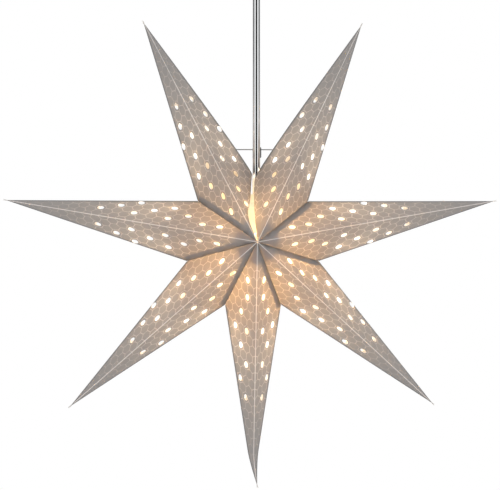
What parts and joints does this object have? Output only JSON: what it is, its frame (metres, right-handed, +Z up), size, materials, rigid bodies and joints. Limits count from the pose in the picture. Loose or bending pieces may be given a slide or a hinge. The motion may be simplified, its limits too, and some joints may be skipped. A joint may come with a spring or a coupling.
{
  "type": "paper star lantern",
  "caption": "Folded paper star lantern with seven punched points round a lampholder on a polished hanging tube, hung by a wire clamped to the tube.",
  "frame": {"origin": "centre of the hanging hole in the yoke at the top of the tube", "axes": "+Z up along the lamp tube, -Y towards the star's front, +X to the right seen from the front"},
  "size_m": [0.64, 0.1784, 0.695],
  "materials": {
    "printed_paper": "matte",
    "patch_card": "matte",
    "brass": "satin",
    "chrome": "polished",
    "steel_wire": "satin",
    "dark_steel": "satin",
    "gland_plastic": "matte",
    "flex_sheath": "satin",
    "core_insulation": "satin",
    "holder_plastic": "satin",
    "holder_ceramic": "satin",
    "black_glass": "gloss",
    "clear_glass": "polished",
    "filament": "satin"
  },
  "bodies": {
    "lamp_stem": {"lamp_tube": "chrome", "hanging_yoke": "chrome", "yoke_locknut": "chrome", "yoke_set_screw": "dark_steel", "cord_gland": "gland_plastic", "inner_flex": "flex_sheath", "flex_cores": "core_insulation", "hanger_wire": "steel_wire", "clamp_block": "dark_steel", "clamp_fixing_screw": "dark_steel", "holder_cap": "holder_plastic", "holder_set_screw": "dark_steel", "holder_body": "holder_plastic", "holder_insert": "holder_ceramic", "thread_shell": "brass", "centre_contact": "brass", "terminal_screws": "brass"},
    "star_base": {"point_bottom": "printed_paper", "patch_bottom": "patch_card"},
    "thumb_screw": {"clamp_thumb_screw": "dark_steel"},
    "shade_ring": {"shade_ring": "holder_plastic"},
    "lamp": {"bulb_cap": "brass", "bulb_insulator": "black_glass", "bulb_contact": "brass", "bulb_glass": "clear_glass", "bulb_stem": "clear_glass", "bulb_filaments": "filament"},
    "fan_upper_left": {"point_upper_left": "printed_paper", "patch_upper_left": "patch_card", "eyelet_left": "brass"},
    "fan_left": {"point_left": "printed_paper", "patch_left": "patch_card"},
    "fan_lower_left": {"point_lower_left": "printed_paper", "patch_lower_left": "patch_card"},
    "fan_lower_right": {"point_lower_right": "printed_paper", "patch_lower_right": "patch_card"},
    "fan_right": {"point_right": "printed_paper", "patch_right": "patch_card"},
    "fan_upper_right": {"point_upper_right": "printed_paper", "patch_upper_right": "patch_card", "eyelet_right": "brass"}
  },
  "joints": [
    {"name": "star_swing", "type": "hinge", "parent": "lamp_stem", "child": "star_base", "pos_m": [0, 0.008, -0.2454], "axis": [-1, 0, 0], "range_deg": [0, 6], "deforming": ["point_bottom", "patch_bottom"]},
    {"name": "fold_upper_right", "type": "hinge", "parent": "star_base", "child": "fan_upper_right", "pos_m": [-0.0047, -0.006, -0.366], "axis": [0, 1, 0], "range_deg": [0, 145.9], "deforming": ["point_upper_right", "patch_upper_right"]},
    {"name": "fold_right", "type": "hinge", "parent": "star_base", "child": "fan_right", "pos_m": [-0.0047, -0.006, -0.366], "axis": [0, 1, 0], "range_deg": [0, 94.6], "deforming": ["point_right", "patch_right"]},
    {"name": "fold_lower_right", "type": "hinge", "parent": "star_base", "child": "fan_lower_right", "pos_m": [-0.0047, -0.006, -0.366], "axis": [0, 1, 0], "range_deg": [0, 45.6], "deforming": ["point_lower_right", "patch_lower_right"]},
    {"name": "fold_upper_left", "type": "hinge", "parent": "star_base", "child": "fan_upper_left", "pos_m": [-0.0047, -0.006, -0.366], "axis": [0, -1, 0], "range_deg": [0, 145.9], "deforming": ["point_upper_left", "patch_upper_left"]},
    {"name": "fold_left", "type": "hinge", "parent": "star_base", "child": "fan_left", "pos_m": [-0.0047, -0.006, -0.366], "axis": [0, -1, 0], "range_deg": [0, 94.6], "deforming": ["point_left", "patch_left"]},
    {"name": "fold_lower_left", "type": "hinge", "parent": "star_base", "child": "fan_lower_left", "pos_m": [-0.0047, -0.006, -0.366], "axis": [0, -1, 0], "range_deg": [0, 45.6], "deforming": ["point_lower_left", "patch_lower_left"]},
    {"name": "thumb_screw_turn", "type": "hinge", "parent": "lamp_stem", "child": "thumb_screw", "pos_m": [0.0026, 0.008, -0.2374], "axis": [0, 0, 1], "range_deg": [0, 1080]},
    {"name": "shade_ring_turn", "type": "hinge", "parent": "lamp_stem", "child": "shade_ring", "pos_m": [0, 0, -0.336], "axis": [0, 0, 1], "range_deg": [0, 1080]},
    {"name": "lamp_turn", "type": "hinge", "parent": "lamp_stem", "child": "lamp", "pos_m": [0, 0, -0.366], "axis": [0, 0, 1], "range_deg": [-1800, 0]}
  ],
  "couplings": [
    {"joint": "fold_right", "follows": "fold_upper_right", "ratio": 0.64839},
    {"joint": "fold_lower_right", "follows": "fold_upper_right", "ratio": 0.31254},
    {"joint": "fold_upper_left", "follows": "fold_upper_right", "ratio": 1},
    {"joint": "fold_left", "follows": "fold_upper_right", "ratio": 0.64839},
    {"joint": "fold_lower_left", "follows": "fold_upper_right", "ratio": 0.31254}
  ]
}
